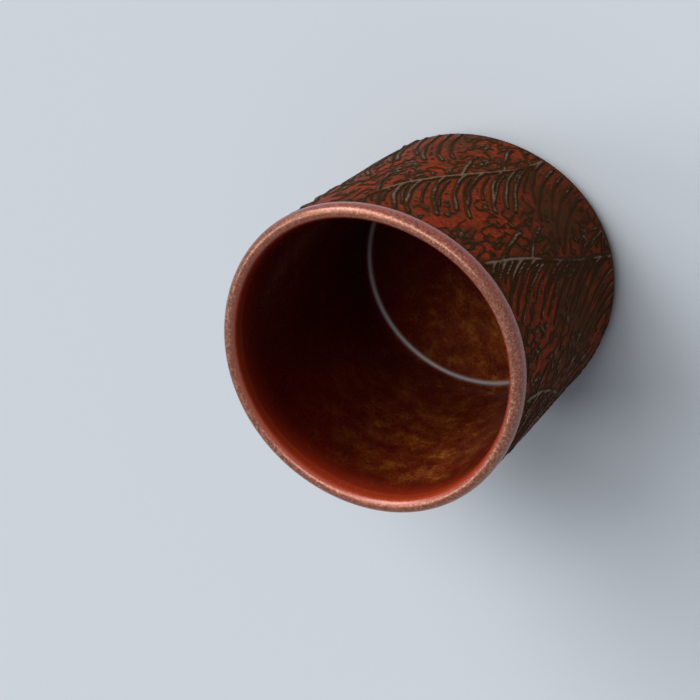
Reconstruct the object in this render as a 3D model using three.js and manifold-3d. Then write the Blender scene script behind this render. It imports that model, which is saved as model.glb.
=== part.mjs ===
// A handmade stoneware cup without a handle, standing on its foot ring.
// Millimetres, +Z up along the cup's axis, origin on the axis at the bottom of the foot ring.
import * as THREE from "three";
import Module from "manifold-3d";

// Heights
const footHeight = 1.4;
const floorThickness = 3.6;
const depthInside = 63.9;
const lipDrop = 1.7;
const lipRise = 2.3;

// Outside: the lip's radius, and how far the rest stands in from it
const lipRadius = 39.4;
const lipOverhang = 0.4;
const waistTuck = 0.9;
const baseTuck = 1.7;
const baseCorner = 3.0;

// Thickness from the outside to the glazed inside
const lipThickness = 3.7;
const waistThickness = 4.4;
const wellThickness = 5.2;
const cornerRadius = 2.6;

// Glaze inside, and the coat of slip and glaze outside
const glazeThickness = 0.4;
const coatThickness = 0.5;

// Foot ring
const footInset = 6.1;
const footWidth = 5.0;
const footRounding = 0.6;

// Room left between curved skins that lie against each other
const skinGap = 0.02;

// Hand-made roundness: each wave has its count round the cup, its share of the radius and its place
const wobbleWaves = [
  { count: 2, share: 0.0043, at: 81 },
  { count: 3, share: 0.0055, at: 32 },
  { count: 4, share: 0.0057, at: -64 },
];

// Fern fronds trailed in slip: where the first rib meets the rim, and how a rib leans and sways
const frondCount = 7;
const frondStart = -38;
const frondLean = 33;
const frondSway = 0.5;
const ribWidth = 1.5;
const ribWaver = 0.4;
const ribWaves = 1.3;

// Leaflets that rise from a rib or from the base, and those that fall from a rib
const risingOnRib = 11;
const risingFromBase = 4;
const risingFirst = 0.9;
const risingSpacing = 3.4;
const risingReach = 22;
const risingCurl = 0.33;
const fallingOnRib = 5;
const fallingFirst = 0.6;
const fallingDrop = 12;
const fallingRun = 3.5;
const leafletWidth = 1.1;
const shortestLeaflet = 4;

// Unevenness of the hand, as a share of a rib's lean and sway, and of a leaflet's spacing,
// reach, curl, drop and run
const leanShare = 0.12;
const swayShare = 1;
const placeShare = 0.08;
const reachShare = 0.12;
const curlShare = 0.12;
const dropShare = 0.4;
const runShare = 0.33;

// Ridges of the fronds
const ridgeHeight = 0.5;
const ridgeRooting = 0.3;
const ridgeMargin = 1.0;
const tipShare = 0.4;

// Facets
const stepsAround = 48;
const stepsUp = 3;
const stepsCorner = 4;
const stepsUnderLip = 1;
const stepsLip = 8;
const stepsRib = 7;
const leafletStep = 6;

// Places that follow from the sizes above; the cup is widest at the lip's middle
const rimRadius = lipRadius - lipOverhang;
const mouthRadius = lipRadius - lipThickness;
const baseLevel = footHeight;
const floorLevel = baseLevel + floorThickness;
const clayFloorLevel = floorLevel - glazeThickness;
const cornerLevel = floorLevel + cornerRadius;
const lipLevel = floorLevel + depthInside;
const seatLevel = lipLevel - lipDrop;
const ridgeTop = seatLevel - ridgeMargin;
const ridgeBottom = clayFloorLevel + ridgeMargin;
const radians = Math.PI / 180;

function wobble(angle) {
  let sum = 1;
  for (const wave of wobbleWaves) {
    sum += wave.share * Math.cos(wave.count * angle - wave.at * radians);
  }
  return sum;
}

// The curve that takes three values at t = 0, 0.5 and 1.
function through(low, middle, high, t) {
  return low * (1 - t) * (1 - 2 * t) + middle * 4 * t * (1 - t) + high * t * (2 * t - 1);
}

// Radius of the outside at a height.
function outsideRadius(z) {
  const t = (z - baseLevel) / (seatLevel - baseLevel);
  return rimRadius - through(baseTuck, waistTuck, 0, t);
}

// Radius of the clay wall under the outer coat.
function wallRadius(z) {
  return outsideRadius(z) - coatThickness;
}

// Radius of the glazed inside at a height.
function insideRadius(z) {
  const t = (z - floorLevel) / (seatLevel - floorLevel);
  return outsideRadius(z) - through(wellThickness, waistThickness, rimRadius - mouthRadius, t);
}

// Radius of the clay behind that glaze.
function clayRadius(z) {
  return insideRadius(z) + glazeThickness;
}

// Points along an elliptic arc, from one angle in degrees to another.
function arc(centre, width, height, from, to, steps) {
  const points = [];
  for (let i = 0; i <= steps; i++) {
    const a = (from + ((to - from) * i) / steps) * radians;
    points.push([centre[0] + width * Math.cos(a), centre[1] + height * Math.sin(a)]);
  }
  return points;
}

// Points up a side whose radius is a function of the height: the first at the foot of the
// inside corner's curve, the rest in equal steps from its top to the lip.
function side(radiusAt) {
  const points = [[radiusAt(clayFloorLevel), clayFloorLevel]];
  for (let i = 0; i <= stepsUp; i++) {
    const z = cornerLevel + ((seatLevel - cornerLevel) * i) / stepsUp;
    points.push([radiusAt(z), z]);
  }
  return points;
}

// Turns a closed outline of [radius, height] points, counterclockwise, round the axis.
// A point on the axis is one vertex; every other point follows the hand-made roundness.
function turned(outline) {
  const positions = [];
  const starts = [];
  for (const [radius, height] of outline) {
    starts.push(positions.length / 3);
    const copies = radius === 0 ? 1 : stepsAround;
    for (let i = 0; i < copies; i++) {
      const angle = (i / stepsAround) * 2 * Math.PI;
      const r = radius * wobble(angle);
      positions.push(r * Math.cos(angle), r * Math.sin(angle), height);
    }
  }
  const vertex = (point, i) => starts[point] + (outline[point][0] === 0 ? 0 : i % stepsAround);
  const index = [];
  for (let p = 0; p < outline.length; p++) {
    const q = (p + 1) % outline.length;
    if (outline[p][0] === 0 && outline[q][0] === 0) continue;
    for (let i = 0; i < stepsAround; i++) {
      const a = vertex(p, i);
      const b = vertex(p, i + 1);
      const c = vertex(q, i + 1);
      const d = vertex(q, i);
      if (a !== b) index.push(a, b, c);
      if (c !== d) index.push(a, c, d);
    }
  }
  return geometryOf(positions, index);
}

function geometryOf(positions, index) {
  const geometry = new THREE.BufferGeometry();
  geometry.setAttribute("position", new THREE.Float32BufferAttribute(positions, 3));
  geometry.setIndex(index);
  geometry.computeVertexNormals();
  return geometry;
}

// The hollow corner between floor and wall, from the floor up, moved back by a depth.
function hollowCorner(depth) {
  const centre = [insideRadius(cornerLevel) - cornerRadius, cornerLevel];
  const radius = cornerRadius + depth;
  return arc(centre, radius, radius, -90, 0, stepsCorner);
}

// The wall: a slab rolled into a tube, standing on the rim of the floor.
function wall() {
  const outside = side((z) => wallRadius(z) - skinGap);
  const inside = side((z) => clayRadius(z) + skinGap);
  return turned([...outside, ...inside.reverse()]);
}

// The floor: a disc whose lower edge is rounded over.
function floorDisc() {
  const rounding = Math.min(baseCorner, clayFloorLevel - baseLevel);
  const cornerTop = baseLevel + rounding;
  const centre = [outsideRadius(cornerTop) - rounding, cornerTop];
  const edge = arc(centre, rounding, rounding, -90, 0, stepsCorner);
  const upper = cornerTop < clayFloorLevel ? [[outsideRadius(clayFloorLevel), clayFloorLevel]] : [];
  return turned([[0, baseLevel], ...edge, ...upper, [0, clayFloorLevel]]);
}

// The coil pressed into the inside corner: two legs and a hollow face between them.
function cornerCoil() {
  const face = hollowCorner(glazeThickness + skinGap).slice(1, -1);
  const foot = face[0];
  const top = face[face.length - 1];
  const legs = [
    [foot[0], clayFloorLevel],
    [clayRadius(clayFloorLevel), clayFloorLevel],
    [clayRadius(top[1]), top[1]],
  ];
  return turned([...legs, ...face.reverse()]);
}

// The lip: a coil laid on the top of the wall, flush inside and rounded outside.
function lipCoil() {
  const middle = (lipRadius + mouthRadius) / 2;
  const underside = arc([rimRadius, lipLevel], lipOverhang, lipDrop, -90, 0, stepsUnderLip);
  const crown = arc([middle, lipLevel], lipRadius - middle, lipRise, 0, 180, stepsLip);
  return turned([[mouthRadius, seatLevel], ...underside, ...crown.slice(1)]);
}

// The foot: a low ring of bare clay under the floor.
function footRing() {
  const outer = outsideRadius(baseLevel) - footInset;
  const inner = outer - footWidth;
  const outerEdge = arc([outer - footRounding, footRounding], footRounding, footRounding, -90, 0, 2);
  const innerEdge = arc([inner + footRounding, footRounding], footRounding, footRounding, 180, 270, 2);
  return turned([...outerEdge, [outer, baseLevel], [inner, baseLevel], ...innerEdge]);
}

// The liner: fired glaze over the whole inside, from the middle of the floor to the lip.
function liner() {
  const back = [...hollowCorner(glazeThickness), ...side(clayRadius).slice(2)];
  const face = side(insideRadius).slice(2).reverse();
  return turned([[0, clayFloorLevel], ...back, ...face, ...hollowCorner(0).reverse(), [0, floorLevel]]);
}

// The hand's unevenness, from -1 to 1: it differs from leaflet to leaflet and with its use.
function uneven(frond, leaflet, use) {
  return Math.sin(9.7 * frond + 4.1 * leaflet + 2.3 * use);
}

// Place on a frond's rib, s from 0 under the lip to 1 at the base: way round the rim, and height.
function ribPoint(frond, s) {
  const bend = uneven(frond, 0, 12);
  const lean = frondLean * (1 + leanShare * bend);
  const sway = frondSway * (1 + swayShare * bend);
  const along = s + sway * (s * s * (3 - 2 * s) - s);
  const turn = (360 * frond) / frondCount + frondStart - lean * along;
  const waver = ribWaver * Math.sin(2 * Math.PI * ribWaves * s + frond);
  return [rimRadius * turn * radians + waver, ridgeTop + (ridgeBottom - ridgeTop) * s];
}

// Points of a leaflet's line, from its foot at q = 0 to its tip at q = 1; none where it is too short.
function leafletLine(height, pointAt) {
  const steps = Math.max(2, Math.round(height / leafletStep));
  const points = [];
  for (let i = 0; i <= steps; i++) points.push(pointAt(i / steps));
  return height < shortestLeaflet ? [] : points;
}

// Line of a leaflet that rises from a place: upright at first, then curling away from its rib.
function risingLine(frond, leaflet, [x, z]) {
  const reach = Math.min(risingReach * (1 + reachShare * uneven(frond, leaflet, 1)), ridgeTop - z);
  const curl = risingCurl * (1 + curlShare * uneven(frond, leaflet, 2));
  return leafletLine(reach, (q) => [x - reach * curl * q ** 2, z + reach * q]);
}

// Line of a leaflet that falls from a place: outwards at first, then downwards.
function fallingLine(frond, leaflet, [x, z]) {
  const drop = Math.min(fallingDrop * (1 + dropShare * uneven(frond, leaflet, 3)), z - ridgeBottom);
  const run = fallingRun * (1 + runShare * uneven(frond, leaflet, 4));
  return leafletLine(drop, (q) => [x + run * Math.sin((q * Math.PI) / 2), z - drop * q]);
}

// Every ridge of one frond: its line and its width.
function frondLines(frond) {
  const rib = [];
  for (let i = 0; i <= stepsRib; i++) rib.push(ribPoint(frond, i / stepsRib));
  const lines = [[rib, ribWidth]];
  for (let i = 0; i < risingOnRib; i++) {
    const s = (i + risingFirst + placeShare * uneven(frond, i, 5)) / risingOnRib;
    lines.push([risingLine(frond, i, ribPoint(frond, Math.min(s, 1))), leafletWidth]);
  }
  for (let i = 0; i < fallingOnRib; i++) {
    const s = (i + fallingFirst + placeShare * uneven(frond, i, 6)) / fallingOnRib;
    lines.push([fallingLine(frond, i, ribPoint(frond, s)), leafletWidth]);
  }
  for (let i = 1; i <= risingFromBase; i++) {
    const [x, z] = ribPoint(frond, 1);
    const start = [x - risingSpacing * (i + placeShare * uneven(frond, i, 7)), z];
    lines.push([risingLine(frond, i + risingOnRib, start), leafletWidth]);
  }
  return lines.filter(([points]) => points.length > 1);
}

// A ridge along a line: a strip of triangular section, rooted in the coat and lower at its tips.
function ridge(points, width) {
  const positions = [];
  const index = [];
  const last = points.length - 1;
  points.forEach(([x, z], i) => {
    const before = points[Math.max(i - 1, 0)];
    const after = points[Math.min(i + 1, last)];
    const run = [after[0] - before[0], after[1] - before[1]];
    const share = i === 0 || i === last ? tipShare : 1;
    const rise = ridgeHeight * share;
    const spread = ((width / 2) * share * (rise + ridgeRooting)) / rise / Math.hypot(...run);
    for (const [across, height] of [[1, -ridgeRooting], [0, rise], [-1, -ridgeRooting]]) {
      const angle = (x - run[1] * spread * across) / rimRadius;
      const level = z + run[0] * spread * across;
      const r = outsideRadius(level) * wobble(angle) + height;
      positions.push(r * Math.cos(angle), r * Math.sin(angle), level);
    }
    if (i === last) return;
    for (let a = 0; a < 3; a++) {
      const here = 3 * i + a;
      const next = 3 * i + ((a + 1) % 3);
      index.push(here, next, next + 3, here, next + 3, here + 3);
    }
  });
  const end = 3 * last;
  index.push(0, 2, 1, end, end + 1, end + 2);
  return geometryOf(positions, index);
}

// The outer coat: slip and glaze over the wall, with the fern fronds raised on it.
function fernCoat(wasm) {
  const solidOf = (geometry) => {
    const vertProperties = geometry.getAttribute("position").array;
    const triVerts = new Uint32Array(geometry.getIndex().array);
    return new wasm.Manifold(new wasm.Mesh({ numProp: 3, vertProperties, triVerts }));
  };
  let coat = solidOf(turned([...side(outsideRadius), ...side(wallRadius).reverse()]));
  for (let frond = 0; frond < frondCount; frond++) {
    for (const [points, width] of frondLines(frond)) {
      coat = coat.add(solidOf(ridge(points, width)));
    }
  }
  const mesh = coat.getMesh();
  return geometryOf(mesh.vertProperties, Array.from(mesh.triVerts));
}

const wasm = await Module();
wasm.setup();
const cup = new THREE.Group();

function addPiece(name, geometry, colour, roughness) {
  const material = new THREE.MeshStandardMaterial({ color: colour, roughness, metalness: 0 });
  const mesh = new THREE.Mesh(geometry, material);
  mesh.name = name;
  cup.add(mesh);
}

addPiece("foot_ring", footRing(), "#8a5a3c", 0.85);
addPiece("floor_disc", floorDisc(), "#5a3a2a", 0.5);
addPiece("wall", wall(), "#8a5a3c", 0.85);
addPiece("corner_coil", cornerCoil(), "#7a4a34", 0.8);
addPiece("lip_coil", lipCoil(), "#9c5a44", 0.35);
addPiece("liner_glaze", liner(), "#5a1c10", 0.2);
addPiece("fern_coat", fernCoat(wasm), "#9a3f22", 0.45);

export default cup;
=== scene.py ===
import math

import bpy
import numpy as np
from mathutils import Matrix, Vector


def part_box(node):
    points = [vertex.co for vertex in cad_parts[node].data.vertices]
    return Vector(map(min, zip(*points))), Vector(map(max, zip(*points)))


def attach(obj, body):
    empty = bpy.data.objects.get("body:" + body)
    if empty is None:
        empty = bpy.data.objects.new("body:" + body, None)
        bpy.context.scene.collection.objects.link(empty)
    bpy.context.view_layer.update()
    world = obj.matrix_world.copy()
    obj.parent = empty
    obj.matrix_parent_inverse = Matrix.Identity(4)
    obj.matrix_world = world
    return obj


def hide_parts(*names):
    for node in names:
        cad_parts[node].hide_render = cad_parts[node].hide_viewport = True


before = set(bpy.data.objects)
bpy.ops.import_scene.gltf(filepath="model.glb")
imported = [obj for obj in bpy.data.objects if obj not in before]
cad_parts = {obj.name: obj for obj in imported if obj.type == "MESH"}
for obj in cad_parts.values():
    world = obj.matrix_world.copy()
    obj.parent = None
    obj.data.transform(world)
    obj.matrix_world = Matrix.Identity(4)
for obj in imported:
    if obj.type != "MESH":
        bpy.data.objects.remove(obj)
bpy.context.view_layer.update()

bl_info = {
    "name": "Stoneware fern cup",
    "version": (1, 1, 0),
    "blender": (4, 5, 0),
    "location": "3D View > Sidebar > Fern cup",
    "description": "Builds a handmade stoneware cup with a fern relief around its packed frame",
    "category": "Add Mesh",
}

MM = 0.001
BODY = "root"

# Levels taken from the frame, in metres
WALL_LOW, WALL_HIGH = (corner.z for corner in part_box("wall"))
LIP_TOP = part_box("lip_coil")[1].z
BASE_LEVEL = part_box("floor_disc")[0].z

# Hand-made roundness: waves round the cup, each with its count, its share of the radius and its
# place in degrees
WOBBLE_WAVES = ((2, 0.0043, 81), (3, 0.0055, 32), (4, 0.0057, -64))

# Noises that close round the cup: the seed of each, and its cells round the cup and up it. The cells
# of the veins follow from their spacing.
CREST_BREAKS = (3, 60, 14)
HILLS = (4, 70, 16)
SMALL_HILLS = (5, 150, 36)
LIP_SWAY = (6, 26, 1)
INSIDE_SWAY = (7, 9, 8)
INSIDE_RIPPLE = (8, 34, 22)
VEIN_BREAKS = (13, 70, 11)
VEIN_SEED, FINE_VEIN_SEED = 11, 12

# Fern relief, in millimetres: the ground's slight hills, the shortest leaflet that is kept, and the
# length of one shake of the hand along a rising and along a falling leaflet
HILL_HEIGHT = 0.06
SHORTEST_LEAFLET = 1.5
RISING_SHAKE, FALLING_SHAKE = 9, 6

# How far a ridge's foot reaches, and how far rising leaflets thin out the veins, in their own widths
RIDGE_SPREAD, COMB_SPREAD = 1.5, 2.4

# How high a vein stands and how strongly it shows, as shares of a ridge
VEIN_HEIGHT, VEIN_SHOW = 0.6, 0.88

# Where the first leaflets and the first thin ridge leave a rib, in leaflets from its upper end
RISING_FIRST, FALLING_FIRST, FINE_FIRST = 0.9, 0.6, 1.4

# Points along a rib and along a rising and a falling leaflet, and those that a thin ridge keeps
RIB_POINTS, RISING_POINTS, FALLING_POINTS = 25, 21, 15
FINE_KEPT = slice(3, -4)

# What the hand is uneven in, each under a number of its own
REACH, CURL, DROP, RUN, RISING_PLACE, FALLING_PLACE, BASE_PLACE, BEND = 1, 2, 3, 4, 5, 6, 7, 12

# How uneven it is, as a share of a leaflet's reach, curl, drop, run and spacing, and of a rib's lean
REACH_SHARE, CURL_SHARE, DROP_SHARE, RUN_SHARE, PLACE_SHARE, LEAN_SHARE = 0.12, 0.12, 0.4, 0.33, 0.08, 0.12

# Band under the lip where the outer glaze turns dull olive-brown: its strength, and its depth in mm
BAND_DULLING, BAND_DEPTH = 0.4, 1.6

# Red band of the inside under the lip, partly the glaze's own red and partly painted light, brighter round
# the lit side:
# the place round the cup, in degrees, where it is faintest, on the shaded side, and where it starts and how
# far it runs, as shares of the inside's height
FAINTEST_AT = -65
BAND_FROM, BAND_RUN = 0.87, 0.13

# Pale line in the hollow corner between wall and floor, a painted reflection of light: its place and its
# width on the corner, in degrees
REFLECTION_AT, REFLECTION_WIDTH = -62, 11

# Amber places in the liner glaze, partly its own mottle and partly painted light where light falls into
# the cup: way round in degrees, distance from the axis, height and size in mm, strength
AMBER_AND_LIT_PLACES = (
    (148, 33, 36, 25, 0.7), (150, 33, 46, 5, 1.0), (152, 34, 55, 7, 1.0), (155, 20, 5, 20, 1.0),
    (20, 33, 50, 12, 0.3))

# Places where the outer glaze turns dull olive-brown: way round in degrees, height and size in mm, strength
DULL_PLACES = ((-92, 20, 12, 0.6), (-134, 30, 16, 0.6), (164, 18, 12, 0.5), (112, 36, 13, 0.6),
               (62, 16, 12, 0.4), (8, 28, 11, 0.5), (-42, 17, 9, 0.3))

# Soft lights, as distant as the sun: name, the direction that each shines from, its width in degrees
# as the cup sees it, and its strength in W/m2
SOFT_LIGHTS = (("key", (1.20, -0.14, 1.04), 50, 1.9), ("low", (1.50, -0.16, 0.55), 30, 1.15),
               ("side", (0.72, 0.80, 1.18), 24, 0.6), ("top", (0.50, -0.62, 1.38), 24, 0.7))

# The photograph's view: where the camera's right, up and forward point, where it stands from the
# lip's middle in metres, and in millimetres its step to the right, its lens and its sensor
VIEW_RIGHT = Vector((-0.6368, -0.6328, -0.4406))
VIEW_UP = Vector((0.7710, -0.5293, -0.3541))
VIEW_FORWARD = Vector((0.0091, 0.5652, -0.8249))
VIEW_FROM = Vector((0, -0.31164, 0.45916))
VIEW_STEP, LENS, SENSOR_WIDTH = 0.19, 120, 36

# Half the width of the studio floor and the nearest that the camera sees, in metres
FLOOR_REACH, NEAREST_SEEN = 4.0, 0.05

# Edges sharper than this stay sharp, and points nearer to the axis than this, in metres, lie on it
SHARP_ANGLE = math.radians(50)
NEAR_AXIS = 1e-9


def linear(code):
    """An sRGB hex colour as linear red, green, blue and alpha."""
    values = [int(code[i:i + 2], 16) / 255 for i in (1, 3, 5)]
    return tuple(v / 12.92 if v <= 0.04045 else ((v + 0.055) / 1.055) ** 2.4 for v in values) + (1.0,)


def length(name, description, default_mm):
    return bpy.props.FloatProperty(
        name=name, description=description, default=default_mm * MM, unit="LENGTH", precision=5)


def angle(name, description, default_degrees):
    return bpy.props.FloatProperty(
        name=name, description=description, default=math.radians(default_degrees), subtype="ANGLE")


def share(name, description, default):
    return bpy.props.FloatProperty(name=name, description=description, default=default)


def count(name, description, default):
    return bpy.props.IntProperty(name=name, description=description, default=default, min=1)


def colour(name, description, code):
    return bpy.props.FloatVectorProperty(
        name=name, description=description, default=linear(code), size=4, min=0, max=1, subtype="COLOR")


class CupShape(bpy.types.PropertyGroup):
    lip_radius: length("Lip radius", "Radius of the cup where it is widest, at the lip's middle", 39.4)
    lip_thickness: length("Lip thickness", "Thickness of the rolled lip", 3.7)
    lip_overhang: length("Lip overhang", "How far the lip stands out past the wall", 0.4)
    lip_drop: length("Lip drop", "Height of the lip's middle above the wall's top", 1.7)
    waist_tuck: length("Waist tuck", "How far the waist is drawn in from the rim", 0.9)
    base_tuck: length("Base tuck", "How far the base is drawn in from the rim", 1.7)
    waist_thickness: length("Wall at the waist", "Thickness at the waist, glaze included", 4.4)
    well_thickness: length("Wall at the floor", "Thickness at the floor, glaze included", 5.2)
    base_corner: length("Base corner", "Rounding of the floor's lower edge", 3.0)
    inner_corner: length("Inner corner", "Radius of the hollow corner between wall and floor", 2.6)
    glaze: length("Liner glaze", "Thickness of the liner glaze", 0.4)
    coat: length("Outer coat", "Thickness of the slip and glaze outside", 0.5)
    gap: length("Gap", "Room between skins that lie against each other", 0.02)
    foot_inset: length("Foot inset", "How far the foot ring stands in from the base", 6.1)
    foot_width: length("Foot width", "Width of the foot ring", 5.0)
    foot_rounding: length("Foot rounding", "Rounding of the foot ring's edges", 0.6)
    unevenness: length("Unevenness", "How far the lip and the inside wander by hand", 0.12)
    columns: count("Columns", "Columns of faces round each plain piece", 360)


class ReliefShape(bpy.types.PropertyGroup):
    fronds: count("Fronds", "Fronds round the wall", 7)
    first: angle("First frond", "Where the first frond's rib meets the rim", -38)
    lean: angle("Lean", "How far a rib goes round the wall on its way down", 33)
    sway: share("Sway", "How much a rib keeps its lean for the middle of its way", 0.5)
    rib_width: length("Rib width", "Width of a frond's rib", 1.35)
    rib_waver: length("Rib waver", "How far a rib wavers", 0.4)
    rib_waves: share("Rib waves", "Waves along a rib", 1.3)
    rising_on_rib: count("Rising leaflets", "Leaflets that rise from a rib", 11)
    rising_from_base: count("Leaflets from the base", "Leaflets that rise from the base beside a rib", 4)
    rising_spacing: length("Base spacing", "Spacing of the leaflets that rise from the base", 3.4)
    rising_reach: length("Rising reach", "Height of a rising leaflet", 22)
    rising_curl: share("Rising curl", "How far its tip curls, as a share of its height", 0.33)
    falling_on_rib: count("Falling leaflets", "Leaflets that fall from a rib", 5)
    falling_drop: length("Falling drop", "Height of a falling leaflet", 12)
    falling_run: length("Falling run", "How far a falling leaflet runs out from its rib", 3.5)
    leaflet_width: length("Leaflet width", "Width of a leaflet's ridge", 1.1)
    fine_width: length("Fine leaflet width", "Width of the thin ridge between two leaflets", 0.7)
    shake: length("Shake", "How far the hand shook along a leaflet", 0.2)
    height: length("Ridge height", "How far the ridges stand out", 0.5)
    margin: length("Margin", "Bare edge over and under the fronds", 1.0)
    vein_spacing: length("Vein spacing", "Spacing of the low wriggling veins between the ridges", 2.2)
    vein_width: share("Vein width", "Width of a vein, as a share of the spacing", 0.5)
    columns: count("Columns", "Columns of faces round the coat", 620)
    rows: count("Rows", "Rows of faces up the coat", 150)


class GlazeColours(bpy.types.PropertyGroup):
    ground: colour("Brick red", "Outer glaze where it lies thick between the ridges", "#782a13")
    shade: colour("Dark iron", "Outer glaze where it is thin beside the ridges", "#35200f")
    ridge: colour("Grey brown", "Slip bare on the crest of the ridges", "#7b5f46")
    plain: colour("Olive brown", "Outer glaze where it turns dull", "#432d19")
    lip: colour("Copper pink", "Crown of the lip", "#d0967e")
    lip_edge: colour("Lip edge", "Red edge of the lip", "#9a3418")
    liner: colour("Oxblood", "Liner glaze in the depth of the cup", "#5a0f07")
    # The amber of the liner's amber places, partly painted light falling into the cup
    liner_glow: colour("Amber brown", "Liner glaze in the amber places, partly painted light", "#884918")
    # corner: pale line painted in the inside corner as a reflection of light
    corner: colour("Corner reflection", "Painted pale reflection in the inside corner", "#8b9193")
    clay: colour("Bare clay", "Unglazed stoneware of the foot ring", "#9a6a4a")
    floor: colour("Floor", "Pale studio floor", "#c6ccd2")


def wobble(theta):
    """The hand-made waves of the cup's radius round the cup, as a factor."""
    total = np.ones_like(theta)
    for waves, part, at in WOBBLE_WAVES:
        total += part * np.cos(waves * theta - math.radians(at))
    return total


def through(low, middle, high, t):
    """The curve that takes three values at t = 0, 0.5 and 1."""
    return low * (1 - t) * (1 - 2 * t) + middle * 4 * t * (1 - t) + high * t * (2 * t - 1)


class Profile:
    """Radii of the cup by height, worked out from the sizes and the frame's levels."""

    def __init__(self, cup):
        self.cup = cup
        self.rim = cup.lip_radius - cup.lip_overhang
        self.mouth = cup.lip_radius - cup.lip_thickness
        self.floor_level = WALL_LOW + cup.glaze
        self.corner_level = self.floor_level + cup.inner_corner
        self.lip_level = WALL_HIGH + cup.lip_drop

    def outside(self, z):
        t = (z - BASE_LEVEL) / (WALL_HIGH - BASE_LEVEL)
        return self.rim - through(self.cup.base_tuck, self.cup.waist_tuck, 0, t)

    def under_coat(self, z):
        return self.outside(z) - self.cup.coat

    def inside(self, z):
        t = (z - self.floor_level) / (WALL_HIGH - self.floor_level)
        thickness = through(self.cup.well_thickness, self.cup.waist_thickness, self.rim - self.mouth, t)
        return self.outside(z) - thickness

    def under_liner(self, z):
        return self.inside(z) + self.cup.glaze

    def hollow_corner(self, depth, steps):
        """The hollow corner from the floor up to the wall, moved back by a depth."""
        centre = (self.inside(self.corner_level) - self.cup.inner_corner, self.corner_level)
        radius = self.cup.inner_corner + depth
        return arc(centre, radius, radius, -90, 0, steps)


def arc(centre, width, height, start, end, steps):
    """Points along an elliptic arc, from one angle in degrees to another."""
    a = np.radians(np.linspace(start, end, steps + 1))
    return np.column_stack([centre[0] + width * np.cos(a), centre[1] + height * np.sin(a)])


def side(radius_at, low, high, steps):
    """Points up a side whose radius at each height comes from a function."""
    z = np.linspace(low, high, steps + 1)
    return np.column_stack([radius_at(z), z])


def ease(t):
    """Runs from 0 to 1 as t does, and sets off and arrives softly."""
    return t * t * (3 - 2 * t)


def lattice_noise(seed, cells_around, cells_up, theta, height):
    """Smooth noise from -1 to 1 that closes round the cup; height runs from 0 to 1."""
    values = np.random.RandomState(seed).uniform(-1, 1, (cells_around, cells_up + 2))
    x = (theta / (2 * math.pi)) % 1 * cells_around
    y = np.clip(height, 0, 1) * cells_up
    column, row = np.floor(x).astype(int) % cells_around, np.floor(y).astype(int)
    fx, fy = ease(x - np.floor(x)), ease(y - np.floor(y))
    beside = (column + 1) % cells_around
    low = values[column, row] * (1 - fx) + values[beside, row] * fx
    high = values[column, row + 1] * (1 - fx) + values[beside, row + 1] * fx
    return low * (1 - fy) + high * fy


def angles(columns):
    """The angle of each column of faces round the axis, in radians."""
    return np.arange(columns) * 2 * math.pi / columns


def new_piece(name, points, faces, values=None):
    """A mesh object in the scene; values holds numbers for each point that the material reads."""
    mesh = bpy.data.meshes.new(name)
    mesh.from_pydata(points, [], faces)
    mesh.validate()
    mesh.shade_smooth()
    mesh.set_sharp_from_angle(angle=SHARP_ANGLE)
    for key, per_point in (values or {}).items():
        layer = mesh.attributes.new(key, "FLOAT", "POINT")
        layer.data.foreach_set("value", np.asarray(per_point, np.float32).ravel())
    piece = bpy.data.objects.new(name, mesh)
    bpy.context.scene.collection.objects.link(piece)
    return piece


def turned(name, outline, columns, shift=0.0, lift=0.0, values=None):
    """A closed outline of radius and height, counterclockwise, turned round the axis.

    shift and lift are offsets of radius and height for the grid of outline points and
    angles, and values holds per-point numbers that the material reads.
    """
    outline = np.asarray(outline, float)
    theta = angles(columns)
    on_axis = outline[:, 0] < NEAR_AXIS
    radius = outline[:, :1] * wobble(theta)[None, :] + shift
    height = np.broadcast_to(outline[:, 1:] + lift, radius.shape)
    radius[on_axis] = 0
    points, starts, kept = [], [], []
    for p in range(len(outline)):
        starts.append(len(points))
        for i in range(1 if on_axis[p] else columns):
            r = radius[p, i]
            points.append((r * math.cos(theta[i]), r * math.sin(theta[i]), height[p, i]))
            kept.append((p, i))
    faces = []
    for p in range(len(outline)):
        q = (p + 1) % len(outline)
        if on_axis[p] and on_axis[q]:
            continue
        for i in range(columns):
            j = (i + 1) % columns
            if on_axis[p]:
                faces.append((starts[p], starts[q] + j, starts[q] + i))
            elif on_axis[q]:
                faces.append((starts[p] + i, starts[p] + j, starts[q]))
            else:
                faces.append((starts[p] + i, starts[p] + j, starts[q] + j, starts[q] + i))
    rows = np.array(kept)
    picked = {key: np.broadcast_to(grid, radius.shape)[rows[:, 0], rows[:, 1]]
              for key, grid in (values or {}).items()}
    return new_piece(name, points, faces, picked)


def finish_piece(piece, node, material):
    """Gives a piece its material and puts it in the place of the frame's node."""
    piece.data.materials.append(material)
    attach(piece, BODY)
    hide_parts(node)


# Materials


def feed(tree, node, links):
    """Sets a node's inputs: each takes a value, a node's socket, or a node for its first output."""
    for key, source in links.items():
        socket = next(s for s in node.inputs if s.enabled and key in (s.identifier, s.name))
        if isinstance(source, bpy.types.Node):
            source = next(s for s in source.outputs if s.enabled)
        if isinstance(source, bpy.types.NodeSocket):
            tree.links.new(source, socket)
        else:
            socket.default_value = source


def add_node(tree, kind, links=None, stops=None, **settings):
    """Adds one shader node: settings are its properties, links its inputs, stops a ramp's colours."""
    node = tree.nodes.new(kind)
    for key, value in settings.items():
        setattr(node, key, value)
    feed(tree, node, links or {})
    for place, (position, value) in enumerate(stops or ()):
        ramp = node.color_ramp.elements
        stop = ramp[place] if place < 2 else ramp.new(position)
        stop.position, stop.color = position, value
    return node


def per_mm(size_mm):
    """Texture scale, in cells per metre, for a pattern of that size in millimetres."""
    return 1 / (size_mm * MM)


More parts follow.
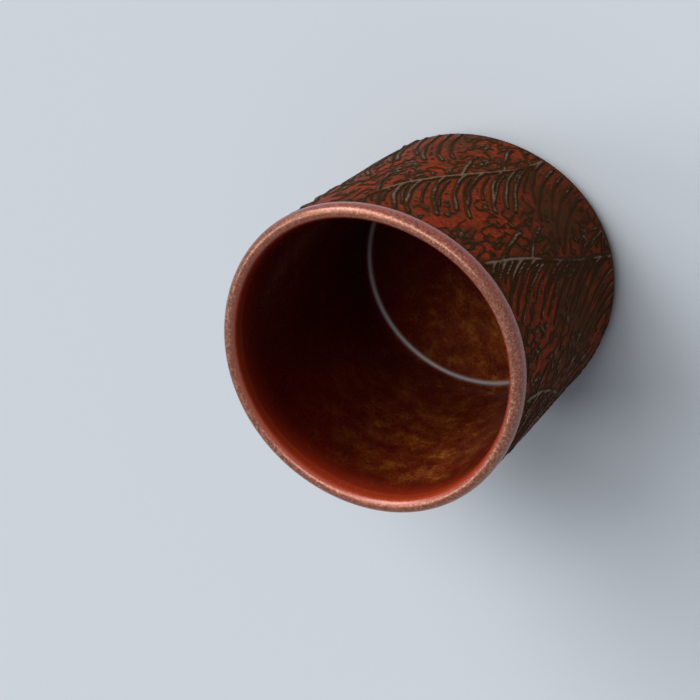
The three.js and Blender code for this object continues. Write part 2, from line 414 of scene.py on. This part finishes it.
def new_material(name):
    """A material with its node tree, its shader and the place on the object as texture coordinates."""
    material = bpy.data.materials.new(name)
    material.use_nodes = True
    tree = material.node_tree
    shader = tree.nodes["Principled BSDF"]
    place = add_node(tree, "ShaderNodeTexCoord").outputs["Object"]
    return material, tree, shader, place


def iron_red_glaze():
    """Iron-red stoneware glaze dipped over slip trailed with a nozzle, then fired in oxidation.

    It pools brick red between the ridges, thins to dark iron beside them, and breaks off their
    crests, which show the grey-brown slip. The surface is satin with pinholes.
    """
    colours = bpy.context.scene.glaze_colours
    material, tree, shader, place = new_material("iron_red_glaze_on_trailed_slip")
    ridge, vein, plain = (
        add_node(tree, "ShaderNodeAttribute", attribute_name=key).outputs["Fac"]
        for key in ("ridge", "vein", "plain"))
    cloud = add_node(tree, "ShaderNodeTexNoise", {
        "Vector": place, "Scale": per_mm(6), "Detail": 5.0, "Roughness": 0.62})
    fine = add_node(tree, "ShaderNodeTexNoise", {
        "Vector": place, "Scale": per_mm(1.2), "Detail": 6.0, "Roughness": 0.65})
    reds = add_node(tree, "ShaderNodeValToRGB", {"Fac": fine}, stops=(
        (0.3, linear("#5a1f0e")), (0.48, colours.ground), (0.66, linear("#a33c18"))))
    tiny = add_node(tree, "ShaderNodeTexNoise", {
        "Vector": place, "Scale": per_mm(0.55), "Detail": 4.0, "Roughness": 0.6})
    flecks = add_node(tree, "ShaderNodeMapRange", {
        "Value": tiny, "From Min": 0.5, "From Max": 0.66, "To Min": 0.0, "To Max": 0.6})
    flecked = add_node(tree, "ShaderNodeMix", {
        "Factor": flecks, "A": reds, "B": linear("#3b1709")}, data_type="RGBA")
    dull = add_node(tree, "ShaderNodeMix", {
        "Factor": fine, "A": colours.plain, "B": colours.shade}, data_type="RGBA")
    share_dull = add_node(tree, "ShaderNodeMath", {"Value": plain, "Value_001": 0.45}, operation="MULTIPLY")
    grained = add_node(tree, "ShaderNodeMath", {"Value": share_dull, "Value_001": fine}, operation="ADD")
    clouded = add_node(tree, "ShaderNodeMath", {"Value": grained, "Value_001": cloud}, operation="ADD")
    dulling = add_node(tree, "ShaderNodeMapRange", {
        "Value": clouded, "From Min": 0.98, "From Max": 1.18, "To Min": 0.0, "To Max": 0.88})
    islands = add_node(tree, "ShaderNodeMix", {"Factor": dulling, "A": flecked, "B": dull}, data_type="RGBA")
    both = add_node(tree, "ShaderNodeMath", {"Value": ridge, "Value_001": vein}, operation="MAXIMUM")
    ragged = add_node(tree, "ShaderNodeMath", {"Value": fine, "Value_001": 0.35}, operation="MULTIPLY")
    reach = add_node(tree, "ShaderNodeMath", {"Value": both, "Value_001": ragged}, operation="ADD")
    thin = add_node(tree, "ShaderNodeMapRange", {"Value": reach, "From Min": 0.45, "From Max": 0.72})
    outlined = add_node(tree, "ShaderNodeMix", {
        "Factor": thin, "A": islands, "B": colours.shade}, data_type="RGBA")
    crest = add_node(tree, "ShaderNodeMapRange", {"Value": reach, "From Min": 0.96, "From Max": 1.1})
    slip = add_node(tree, "ShaderNodeMix", {
        "Factor": fine, "A": linear("#463724"), "B": colours.ridge}, data_type="RGBA")
    body = add_node(tree, "ShaderNodeMix", {"Factor": crest, "A": outlined, "B": slip}, data_type="RGBA")
    rough = add_node(tree, "ShaderNodeMapRange", {"Value": fine, "To Min": 0.22, "To Max": 0.55})
    pits = add_node(tree, "ShaderNodeBump", {"Height": fine, "Strength": 0.5, "Distance": 0.3 * MM})
    gloss = add_node(tree, "ShaderNodeMapRange", {"Value": crest, "To Min": 0.006, "To Max": 0.14})
    # The socket's own value is what an exported model falls back on, because it can't hold the link
    shader.inputs["Specular IOR Level"].default_value = 0.03
    feed(tree, shader, {
        "Base Color": body, "Roughness": rough, "Normal": pits, "Specular IOR Level": gloss,
        "Specular Tint": linear("#ffc4a0")})
    return material


def copper_lip():
    """The same iron glaze wiped thin over the lip, where iron crystals gave it a metallic sheen.

    It is a copper-pink satin skin with fine pits and a few pale crystals, partly painted glints,
    and stays red along both edges of the roll; the red of its inner edge is painted light, brighter
    round the lit side and darker on the shaded side.
    """
    colours = bpy.context.scene.glaze_colours
    material, tree, shader, place = new_material("copper_pink_lip_glaze")
    wiped, outer, glow = (
        add_node(tree, "ShaderNodeAttribute", attribute_name=key).outputs["Fac"]
        for key in ("wiped", "outer", "glow"))
    grain = add_node(tree, "ShaderNodeTexNoise", {
        "Vector": place, "Scale": per_mm(0.6), "Detail": 5.0, "Roughness": 0.7})
    broad = add_node(tree, "ShaderNodeTexNoise", {"Vector": place, "Scale": per_mm(16), "Detail": 2.0})
    pits = add_node(tree, "ShaderNodeTexVoronoi", {"Vector": place, "Scale": per_mm(0.8)})
    skin = add_node(tree, "ShaderNodeValToRGB", {"Fac": grain}, stops=(
        (0.36, linear("#411a10")), (0.5, linear("#864f3a")), (0.66, colours.lip)))
    warm = add_node(tree, "ShaderNodeMix", {
        "Factor": broad, "A": skin, "B": linear("#7a3f28")}, data_type="RGBA")
    speckle = add_node(tree, "ShaderNodeMapRange", {
        "Value": grain, "From Min": 0.42, "From Max": 0.6, "To Min": 0.8, "To Max": 0.0})
    speckled = add_node(tree, "ShaderNodeMath", {"Value": speckle, "Value_001": outer}, operation="MULTIPLY")
    # Painted light: the inner flank's red is brighter round the lit side and dark on the shaded side
    flank = add_node(tree, "ShaderNodeMix", {
        "Factor": glow, "A": linear("#4a150a"), "B": colours.lip_edge}, data_type="RGBA")
    edges = add_node(tree, "ShaderNodeMix", {
        "Factor": speckled, "A": flank, "B": linear("#2c1209")}, data_type="RGBA")
    ragged = add_node(tree, "ShaderNodeMath", {"Value": grain, "Value_001": 0.9}, operation="MULTIPLY")
    reach = add_node(tree, "ShaderNodeMath", {"Value": wiped, "Value_001": ragged}, operation="ADD")
    edge = add_node(tree, "ShaderNodeMapRange", {"Value": reach, "From Min": 0.92, "From Max": 1.28})
    body = add_node(tree, "ShaderNodeMix", {
        "Factor": edge, "A": edges, "B": warm}, data_type="RGBA")
    # Pale crystal flecks painted bright: partly the glaze's own crystals, partly painted glints
    crystal = add_node(tree, "ShaderNodeMapRange", {
        "Value": pits.outputs["Distance"], "From Min": 0.1, "From Max": 0.06})
    rare = add_node(tree, "ShaderNodeMapRange", {"Value": broad, "From Min": 0.52, "From Max": 0.56})
    sparse = add_node(tree, "ShaderNodeMath", {"Value": crystal, "Value_001": rare}, operation="MULTIPLY")
    crystal_glints = add_node(tree, "ShaderNodeMix", {
        "Factor": sparse, "A": body, "B": linear("#e6bf86")}, data_type="RGBA")
    rough = add_node(tree, "ShaderNodeMapRange", {"Value": grain, "To Min": 0.12, "To Max": 0.34})
    bump = add_node(tree, "ShaderNodeBump", {"Height": grain, "Strength": 0.5, "Distance": 0.14 * MM})
    sheen = add_node(tree, "ShaderNodeMapRange", {"Value": edge, "To Max": 0.45})
    feed(tree, shader, {
        "Base Color": crystal_glints, "Roughness": rough, "Normal": bump, "Metallic": sheen, "IOR": 1.65,
        "Specular Tint": linear("#ffe8da"), "Coat Weight": 0.3, "Coat Roughness": 0.2})
    return material


def oxblood_liner():
    """Glossy iron liner glaze, poured in and swilled round: dark oxblood, mottled amber and ochre.

    It turns red under the lip, partly its own red and partly painted light, brighter round the lit side.
    It breaks to amber on one side and on the floor, partly its own mottle and partly painted light falling
    into the cup, and a pale line in the corner round the floor is a painted reflection of light.
    """
    colours = bpy.context.scene.glaze_colours
    material, tree, shader, place = new_material("oxblood_liner_glaze")
    glow, pooled, amber = (
        add_node(tree, "ShaderNodeAttribute", attribute_name=key).outputs["Fac"]
        for key in ("glow", "pooled", "amber"))
    mottle = add_node(tree, "ShaderNodeTexNoise", {
        "Vector": place, "Scale": per_mm(5), "Detail": 8.0, "Roughness": 0.66})
    drift = add_node(tree, "ShaderNodeTexNoise", {"Vector": place, "Scale": per_mm(26), "Detail": 2.0})
    specks = add_node(tree, "ShaderNodeTexNoise", {
        "Vector": place, "Scale": per_mm(0.7), "Detail": 3.0, "Roughness": 0.6})
    depth = add_node(tree, "ShaderNodeMix", {
        "Factor": drift, "A": colours.liner, "B": linear("#240504")}, data_type="RGBA")
    flow = add_node(tree, "ShaderNodeValToRGB", {"Fac": mottle}, stops=(
        (0.36, linear("#521a0c")), (0.5, linear("#703114")), (0.6, colours.liner_glow),
        (0.74, linear("#a87224"))))
    # Partly painted light: the amber places brighten the liner where light falls into the cup
    iron = add_node(tree, "ShaderNodeMix", {"Factor": amber, "A": depth, "B": flow}, data_type="RGBA")
    peppered = add_node(tree, "ShaderNodeMapRange", {
        "Value": specks, "From Min": 0.5, "From Max": 0.7, "To Min": 0.0, "To Max": 0.75})
    dotted = add_node(tree, "ShaderNodeMix", {
        "Factor": peppered, "A": iron, "B": linear("#1c0705")}, data_type="RGBA")
    # Painted light: the red band under the lip, brighter round the lit side
    banded = add_node(tree, "ShaderNodeMix", {
        "Factor": glow, "A": dotted, "B": linear("#7c2410")}, data_type="RGBA")
    # Painted reflection of light: the pale line on the hollow corner
    body = add_node(tree, "ShaderNodeMix", {
        "Factor": pooled, "A": banded, "B": colours.corner}, data_type="RGBA")
    rough = add_node(tree, "ShaderNodeMapRange", {"Value": mottle, "To Min": 0.16, "To Max": 0.36})
    bump = add_node(tree, "ShaderNodeBump", {"Height": specks, "Strength": 0.2, "Distance": 0.1 * MM})
    feed(tree, shader, {
        "Base Color": body, "Roughness": rough, "Normal": bump, "Specular IOR Level": 0.2,
        "Specular Tint": linear("#ffb08a")})
    return material


def bare_clay():
    """Coarse stoneware clay, turned and left bare: matt toasted brown with grit and iron spots."""
    colours = bpy.context.scene.glaze_colours
    material, tree, shader, place = new_material("bare_stoneware_clay")
    grit = add_node(tree, "ShaderNodeTexNoise", {
        "Vector": place, "Scale": per_mm(0.7), "Detail": 6.0, "Roughness": 0.7})
    toast = add_node(tree, "ShaderNodeTexNoise", {"Vector": place, "Scale": per_mm(12), "Detail": 3.0})
    spots = add_node(tree, "ShaderNodeTexVoronoi", {"Vector": place, "Scale": per_mm(2.2)})
    tone = add_node(tree, "ShaderNodeValToRGB", {"Fac": toast}, stops=(
        (0.35, linear("#6d452f")), (0.55, colours.clay), (0.7, linear("#b07f58"))))
    gritty = add_node(tree, "ShaderNodeMix", {
        "Factor": grit, "A": tone, "B": linear("#5a3a28")}, data_type="RGBA")
    iron = add_node(tree, "ShaderNodeMapRange", {
        "Value": spots.outputs["Distance"], "From Min": 0.1, "From Max": 0.2})
    body = add_node(tree, "ShaderNodeMix", {
        "Factor": iron, "A": linear("#2a1710"), "B": gritty}, data_type="RGBA")
    bump = add_node(tree, "ShaderNodeBump", {"Height": grit, "Strength": 0.6, "Distance": 0.2 * MM})
    feed(tree, shader, {"Base Color": body, "Roughness": 0.85, "Normal": bump})
    return material


def studio_paint():
    """Matt pale paint on the studio floor, rolled on evenly."""
    colours = bpy.context.scene.glaze_colours
    material, tree, shader, _ = new_material("matt_studio_paint")
    feed(tree, shader, {"Base Color": colours.floor, "Roughness": 0.9, "Specular IOR Level": 0.0})
    return material


def studio_world():
    """Plain dim light from all round, which the camera and reflections see as a pale backdrop."""
    world = bpy.data.worlds.new("studio")
    world.use_nodes = True
    tree = world.node_tree
    path = add_node(tree, "ShaderNodeLightPath")
    seen = add_node(tree, "ShaderNodeMath", {
        "Value": path.outputs["Is Camera Ray"], "Value_001": path.outputs["Is Glossy Ray"]}, operation="ADD")
    shown = add_node(tree, "ShaderNodeMath", {
        "Value": seen, "Value_001": path.outputs["Is Transmission Ray"]}, operation="ADD", use_clamp=True)
    strength = add_node(tree, "ShaderNodeMapRange", {"Value": shown, "To Min": 0.27, "To Max": 0.76})
    feed(tree, tree.nodes["Background"], {"Color": linear("#e7eef6"), "Strength": strength})
    return world


# The fern relief


def uneven(frond, leaflet, use):
    """The hand's unevenness, from -1 to 1: it differs from leaflet to leaflet and with its use."""
    return math.sin(9.7 * frond + 4.1 * leaflet + 2.3 * use)


def rib_point(relief, profile, frond, s):
    """Place on a frond's rib, s from 0 under the lip to 1 at the base: way round the rim, and height."""
    bend = uneven(frond, 0, BEND)
    along = s + relief.sway * (1 + bend) * (ease(s) - s)
    lean = relief.lean * (1 + LEAN_SHARE * bend)
    turn = 2 * math.pi * frond / relief.fronds + relief.first - lean * along
    waver = relief.rib_waver * np.sin(2 * math.pi * relief.rib_waves * s + frond)
    top, bottom = WALL_HIGH - relief.margin, WALL_LOW + relief.margin
    return profile.rim * turn + waver, top + (bottom - top) * s


def rising_line(relief, frond, leaflet, start):
    """Line of a leaflet that rises from a place: upright at first, then curling away from its rib."""
    q = np.linspace(0, 1, RISING_POINTS)
    reach = relief.rising_reach * (1 + REACH_SHARE * uneven(frond, leaflet, REACH))
    reach = min(reach, WALL_HIGH - relief.margin - start[1])
    curl = relief.rising_curl * (1 + CURL_SHARE * uneven(frond, leaflet, CURL))
    shake = relief.shake * q * np.sin(2 * math.pi * q * reach / (RISING_SHAKE * MM) + leaflet)
    return np.column_stack([start[0] - reach * curl * q ** 2 + shake, start[1] + reach * q])


def falling_line(relief, frond, leaflet, start):
    """Line of a leaflet that falls from a place: outwards at first, then downwards."""
    q = np.linspace(0, 1, FALLING_POINTS)
    drop = relief.falling_drop * (1 + DROP_SHARE * uneven(frond, leaflet, DROP))
    drop = min(drop, start[1] - WALL_LOW - relief.margin)
    run = relief.falling_run * (1 + RUN_SHARE * uneven(frond, leaflet, RUN))
    shake = relief.shake * q * np.sin(2 * math.pi * q * drop / (FALLING_SHAKE * MM) + leaflet)
    return np.column_stack([start[0] + run * np.sin(q * math.pi / 2) + shake, start[1] - drop * q])


def frond_lines(relief, profile):
    """Every ridge as (points, width, rising): points are way round the rim and height."""
    lines = []
    for frond in range(relief.fronds):
        rib = np.column_stack(rib_point(relief, profile, frond, np.linspace(0, 1, RIB_POINTS)))
        lines.append((rib, relief.rib_width, False))
        for i in range(relief.rising_on_rib):
            s = (i + RISING_FIRST + PLACE_SHARE * uneven(frond, i, RISING_PLACE)) / relief.rising_on_rib
            start = rib_point(relief, profile, frond, min(s, 1))
            lines.append((rising_line(relief, frond, i, start), relief.leaflet_width, True))
        for i in range(relief.falling_on_rib):
            s = (i + FALLING_FIRST + PLACE_SHARE * uneven(frond, i, FALLING_PLACE)) / relief.falling_on_rib
            start = rib_point(relief, profile, frond, s)
            lines.append((falling_line(relief, frond, i, start), relief.leaflet_width, False))
        for i in range(1, relief.rising_from_base + 1):
            x, z = rib_point(relief, profile, frond, 1)
            start = (x - relief.rising_spacing * (i + PLACE_SHARE * uneven(frond, i, BASE_PLACE)), z)
            line = rising_line(relief, frond, i + relief.rising_on_rib, start)
            lines.append((line, relief.leaflet_width, True))
        for i in range(relief.rising_on_rib - 1):
            start = rib_point(relief, profile, frond, (i + FINE_FIRST) / relief.rising_on_rib)
            line = rising_line(relief, frond, i + 0.5, start)[FINE_KEPT]
            lines.append((line, relief.fine_width, True))
    return [line for line in lines if np.ptp(line[0][:, 1]) > SHORTEST_LEAFLET * MM]


def between(grid, a, b, reach):
    """Which of the grid's places lie between a and b, or within reach of them."""
    return np.flatnonzero((grid > min(a, b) - reach) & (grid < max(a, b) + reach))


def line_field(lines, widths, profile, theta, z):
    """Nearness of a line at each grid point: 1 on the line, 0 from that many of its widths away."""
    rim_length = 2 * math.pi * profile.rim
    x = (profile.rim * theta) % rim_length
    field = np.zeros(x.shape)
    for points, width, _ in lines:
        reach = widths * width
        for start, end in zip(points[:-1], points[1:]):
            shift = math.floor(start[0] / rim_length) * rim_length
            for turn in (0, rim_length, -rim_length):
                a, b = start - (shift + turn, 0), end - (shift + turn, 0)
                columns = between(x[0], a[0], b[0], reach)
                rows = between(z[:, 0], a[1], b[1], reach)
                if not len(columns) or not len(rows):
                    continue
                block = np.ix_(rows, columns)
                px, pz = x[block] - a[0], z[block] - a[1]
                run = b - a
                t = np.clip((px * run[0] + pz * run[1]) / (run @ run), 0, 1)
                d = np.hypot(px - t * run[0], pz - t * run[1])
                field[block] = np.maximum(field[block], 1 - d / reach)
    return field


def vein_field(relief, profile, theta, height):
    """Nearness of a low vein: the veins wriggle round islands that are twice as high as wide."""
    around = round(2 * math.pi * profile.rim / relief.vein_spacing)
    up = round((WALL_HIGH - WALL_LOW) / relief.vein_spacing / 2)
    fine = lattice_noise(FINE_VEIN_SEED, 2 * around, 3 * up, theta, height)
    level = lattice_noise(VEIN_SEED, around, up, theta, height) + 0.5 * fine
    broken = np.clip(1.5 + 1.1 * lattice_noise(*VEIN_BREAKS, theta, height), 0, 1)
    return np.clip(1 - np.abs(level) / (1.5 * relief.vein_width), 0, 1) * broken


def plain_field(profile, theta, z):
    """Where the glaze turns dull olive-brown: in some broad places, and in a band under the lip."""
    field = BAND_DULLING * np.exp(-((WALL_HIGH - z) / (BAND_DEPTH * MM)) ** 2)
    for turn, level, size, strength in DULL_PLACES:
        across = profile.rim * 2 * np.sin((theta - math.radians(turn)) / 2)
        away = np.hypot(across, z - level * MM) / (size * MM)
        field = np.maximum(field, strength * np.exp(-away ** 2))
    return field


class CUP_OT_coat(bpy.types.Operator):
    """Builds the outer coat of slip and glaze with its raised fern fronds"""
    bl_idname = "cup.coat"
    bl_label = "Fern coat"

    def execute(self, context):
        relief, profile = context.scene.relief_shape, Profile(context.scene.cup_shape)
        outside = side(profile.outside, WALL_LOW, WALL_HIGH, relief.rows)
        back = side(profile.under_coat, WALL_LOW, WALL_HIGH, 8)[::-1]
        outline = np.vstack([outside, back])
        theta, z = np.meshgrid(angles(relief.columns), outside[:, 1])
        lines = frond_lines(relief, profile)
        ridge = line_field(lines, RIDGE_SPREAD, profile, theta, z)
        comb = line_field([line for line in lines if line[2]], COMB_SPREAD, profile, theta, z)
        plain = plain_field(profile, theta, z)
        height = (z - WALL_LOW) / (WALL_HIGH - WALL_LOW)
        # The crests break up here and there, and are lower where the glaze turns dull
        breaks = 0.95 + 0.2 * lattice_noise(*CREST_BREAKS, theta, height)
        hills = lattice_noise(*HILLS, theta, height) + 0.6 * lattice_noise(*SMALL_HILLS, theta, height)
        edge = np.clip(np.minimum(z - WALL_LOW, WALL_HIGH - z) / relief.margin, 0, 1)
        ridge = ridge * np.clip(breaks, 0.5, 1) * (1 - 0.5 * plain)
        # Veins stay clear of the ridges, and thin out between rising leaflets
        vein = vein_field(relief, profile, theta, height) * np.clip(1.5 - 2 * np.maximum(ridge, comb), 0, 1)
        # Only the nearer half of each field stands out of the ground; the rest is colour
        swell = np.clip((ridge - 0.5) / 0.5, 0, 1)
        low_swell = np.clip((vein - 0.5) / 0.5, 0, 1)
        blank = np.zeros((len(back), relief.columns))
        shift = (ease(swell) + VEIN_HEIGHT * low_swell) * relief.height + hills * edge * HILL_HEIGHT * MM
        values = {"ridge": np.vstack([ridge, blank]), "vein": np.vstack([vein * VEIN_SHOW, blank]),
                  "plain": np.vstack([plain, blank])}
        piece = turned("fern_relief_coat", outline, relief.columns, np.vstack([shift, blank]), values=values)
        finish_piece(piece, "fern_coat", iron_red_glaze())
        return {"FINISHED"}


class CUP_OT_clay(bpy.types.Operator):
    """Builds the clay wall, the coil in its corner and the foot ring"""
    bl_idname = "cup.clay"
    bl_label = "Clay"

    def execute(self, context):
        cup, profile = context.scene.cup_shape, Profile(context.scene.cup_shape)
        clay = bare_clay()
        tube = np.vstack([
            side(lambda z: profile.under_coat(z) - cup.gap, WALL_LOW, WALL_HIGH, 8),
            side(lambda z: profile.under_liner(z) + cup.gap, WALL_LOW, WALL_HIGH, 8)[::-1]])
        finish_piece(turned("clay_wall", tube, cup.columns), "wall", clay)
        hollow = profile.hollow_corner(cup.glaze + cup.gap, 12)[1:-1]
        legs = [[hollow[0][0], WALL_LOW], [profile.under_liner(WALL_LOW), WALL_LOW],
                [profile.under_liner(hollow[-1][1]), hollow[-1][1]]]
        finish_piece(turned("corner_roll", np.vstack([legs, hollow[::-1]]), cup.columns), "corner_coil", clay)
        outer = profile.outside(BASE_LEVEL) - cup.foot_inset
        inner, r = outer - cup.foot_width, cup.foot_rounding
        foot = np.vstack([
            arc((outer - r, r), r, r, -90, 0, 6), [[outer, BASE_LEVEL], [inner, BASE_LEVEL]],
            arc((inner + r, r), r, r, 180, 270, 6)])
        finish_piece(turned("turned_foot", foot, cup.columns), "foot_ring", clay)
        return {"FINISHED"}


class CUP_OT_floor(bpy.types.Operator):
    """Builds the floor disc with its rounded lower edge"""
    bl_idname = "cup.floor"
    bl_label = "Floor"

    def execute(self, context):
        cup, profile = context.scene.cup_shape, Profile(context.scene.cup_shape)
        top = BASE_LEVEL + cup.base_corner
        r = cup.base_corner
        edge = arc((profile.outside(top) - r, top), r, r, -90, 0, 12)
        over = [[profile.outside(WALL_LOW), WALL_LOW], [0, WALL_LOW]]
        outline = np.vstack([[[0, BASE_LEVEL]], edge, over])
        piece = turned("floor_slab", outline, cup.columns, values={"plain": 0.5})
        finish_piece(piece, "floor_disc", iron_red_glaze())
        return {"FINISHED"}


def lit_band_strength(theta):
    """Strength of the red inside the lip, partly painted light: least at one place, on the shaded side, and
    more all the way round from it.
    """
    return 0.2 + 0.8 * np.abs(np.sin((theta - math.radians(FAINTEST_AT)) / 2))


class CUP_OT_lip(bpy.types.Operator):
    """Builds the rolled lip"""
    bl_idname = "cup.lip"
    bl_label = "Lip"

    def execute(self, context):
        cup, profile = context.scene.cup_shape, Profile(context.scene.cup_shape)
        middle = (cup.lip_radius + profile.mouth) / 2
        underside = arc((profile.rim, profile.lip_level), cup.lip_overhang, cup.lip_drop, -90, 0, 8)
        rise = LIP_TOP - profile.lip_level
        roll = arc((middle, profile.lip_level), cup.lip_radius - middle, rise, 0, 180, 28)
        outline = np.vstack([[[profile.mouth, WALL_HIGH]], underside, roll[1:]])
        # crown is 1 on top of the lip, outer is 1 on its outer side and inward is 1 on its inner edge
        crown = np.clip((outline[:, 1:] - profile.lip_level) / rise, 0, 1)
        theta = angles(cup.columns)[None, :]
        sway = lattice_noise(*LIP_SWAY, theta, np.zeros_like(theta))
        lift = -cup.unevenness * (0.5 + 0.5 * sway) * crown
        outer = np.clip(0.5 + (outline[:, :1] - middle) / cup.lip_thickness, 0.1, 1)
        # Painted light on the inner flank: redder round the lit side, dark on the shaded side; the outer side
        # stays red all round
        glow = np.maximum(0.4 + 0.6 * lit_band_strength(theta), outer)
        inward = np.clip((middle - outline[:, :1]) / (middle - profile.mouth), 0, 1)
        wiped = np.clip(crown - 0.5 * inward, 0, 1)
        piece = turned("rolled_lip", outline, cup.columns, lift=lift,
                       values={"wiped": wiped, "outer": outer, "glow": glow})
        finish_piece(piece, "lip_coil", copper_lip())
        return {"FINISHED"}


class CUP_OT_liner(bpy.types.Operator):
    """Builds the glossy liner glaze over the whole inside"""
    bl_idname = "cup.liner"
    bl_label = "Liner glaze"

    def execute(self, context):
        cup, profile = context.scene.cup_shape, Profile(context.scene.cup_shape)
        back = side(profile.under_liner, profile.corner_level, WALL_HIGH, 6)
        face = side(profile.inside, profile.corner_level, WALL_HIGH, 60)[::-1]
        corner = profile.hollow_corner(0, 40)[::-1][1:]
        across = np.linspace(corner[-1][0], 0, 16)[1:]
        floor = np.column_stack([across, np.full_like(across, profile.floor_level)])
        outline = np.vstack([
            [[0, WALL_LOW]], profile.hollow_corner(cup.glaze, 12)[:-1], back, face, corner, floor])
        # Only the points that show, from the top of the face on, are uneven and carry the painted corner
        # reflection
        first = len(outline) - len(face) - len(corner) - len(floor)
        shown = np.arange(len(outline))[:, None] >= first
        theta, z = np.meshgrid(angles(cup.columns), outline[:, 1])
        height = (z - profile.floor_level) / (WALL_HIGH - profile.floor_level)
        inward = np.where(shown & (height > 0), np.sin(math.pi * np.clip(height, 0, 1)) ** 0.5, 0)
        ripple = lattice_noise(*INSIDE_RIPPLE, theta, height)
        sway = lattice_noise(*INSIDE_SWAY, theta, height) + 0.3 * ripple
        beside = outline[:, :1] - profile.inside(profile.corner_level) + cup.inner_corner
        on_corner = np.degrees(np.arctan2(z - profile.corner_level, beside))
        in_corner = (beside > 0) * (z < profile.corner_level) * shown
        # Painted reflection: a pale line on the hollow corner where light is mirrored
        pooled = np.exp(-((on_corner - REFLECTION_AT) / REFLECTION_WIDTH) ** 2) * in_corner
        # Painted light: the red band under the lip, strongest round the lit side
        glow = lit_band_strength(theta) * np.clip((height - BAND_FROM) / BAND_RUN, 0, 1) ** 2
        x, y = outline[:, :1] * np.cos(theta), outline[:, :1] * np.sin(theta)
        # Amber places, partly the glaze's own mottle and partly painted light falling into the cup
        amber = np.zeros(z.shape)
        for turn, out, level, size, strength in AMBER_AND_LIT_PLACES:
            at = math.radians(turn)
            away = np.sqrt((x - out * MM * math.cos(at)) ** 2 + (y - out * MM * math.sin(at)) ** 2
                           + (z - level * MM) ** 2)
            amber = np.maximum(amber, strength * np.exp(-(away / (size * MM)) ** 2))
        piece = turned("liner_glaze_skin", outline, cup.columns, cup.unevenness * sway * inward,
                       values={"glow": glow, "pooled": pooled, "amber": amber})
        finish_piece(piece, "liner_glaze", oxblood_liner())
        return {"FINISHED"}


class CUP_OT_stage(bpy.types.Operator):
    """Builds the pale floor and backdrop, the camera and the soft lights"""
    bl_idname = "cup.stage"
    bl_label = "Stage"

    def execute(self, context):
        scene = context.scene
        scene.view_settings.view_transform = "Standard"
        corners = [(x * FLOOR_REACH, y * FLOOR_REACH, 0) for x, y in ((-1, -1), (1, -1), (1, 1), (-1, 1))]
        floor = new_piece("floor", corners, [(0, 1, 2, 3)])
        floor.data.materials.append(studio_paint())
        scene.world = studio_world()
        camera = bpy.data.objects.new("camera", bpy.data.cameras.new("camera"))
        camera.data.lens = LENS
        camera.data.sensor_width = SENSOR_WIDTH
        camera.data.clip_start = NEAREST_SEEN
        lip_middle = Vector((0, 0, Profile(scene.cup_shape).lip_level))
        place = lip_middle + VIEW_FROM + VIEW_RIGHT * VIEW_STEP * MM
        heading = Matrix((VIEW_RIGHT, VIEW_UP, -VIEW_FORWARD)).transposed().to_4x4()
        camera.matrix_world = Matrix.Translation(place) @ heading
        scene.collection.objects.link(camera)
        scene.camera = camera
        for name, direction, width, strength in SOFT_LIGHTS:
            light = bpy.data.objects.new(name, bpy.data.lights.new(name, "SUN"))
            light.data.energy = strength
            light.data.angle = math.radians(width)
            light.location = direction
            light.rotation_mode = "QUATERNION"
            light.rotation_quaternion = Vector(direction).to_track_quat("Z", "Y")
            scene.collection.objects.link(light)
        return {"FINISHED"}


class CUP_PT_panel(bpy.types.Panel):
    """Lists the steps that build the cup"""
    bl_idname = "CUP_PT_panel"
    bl_label = "Fern cup"
    bl_space_type = "VIEW_3D"
    bl_region_type = "UI"
    bl_category = "Fern cup"

    def draw(self, context):
        for step in STEPS:
            self.layout.operator(step.bl_idname)


GROUPS = {"cup_shape": CupShape, "relief_shape": ReliefShape, "glaze_colours": GlazeColours}
STEPS = (CUP_OT_coat, CUP_OT_clay, CUP_OT_floor, CUP_OT_lip, CUP_OT_liner, CUP_OT_stage)


def register():
    for cls in (*GROUPS.values(), *STEPS, CUP_PT_panel):
        bpy.utils.register_class(cls)
    for name, group in GROUPS.items():
        setattr(bpy.types.Scene, name, bpy.props.PointerProperty(type=group))


def unregister():
    for name in GROUPS:
        delattr(bpy.types.Scene, name)
    for cls in (CUP_PT_panel, *STEPS, *GROUPS.values()):
        bpy.utils.unregister_class(cls)


def main():
    register()
    for step in STEPS:
        getattr(bpy.ops.cup, step.bl_idname.split(".")[1])()


if __name__ == "__main__":
    main()
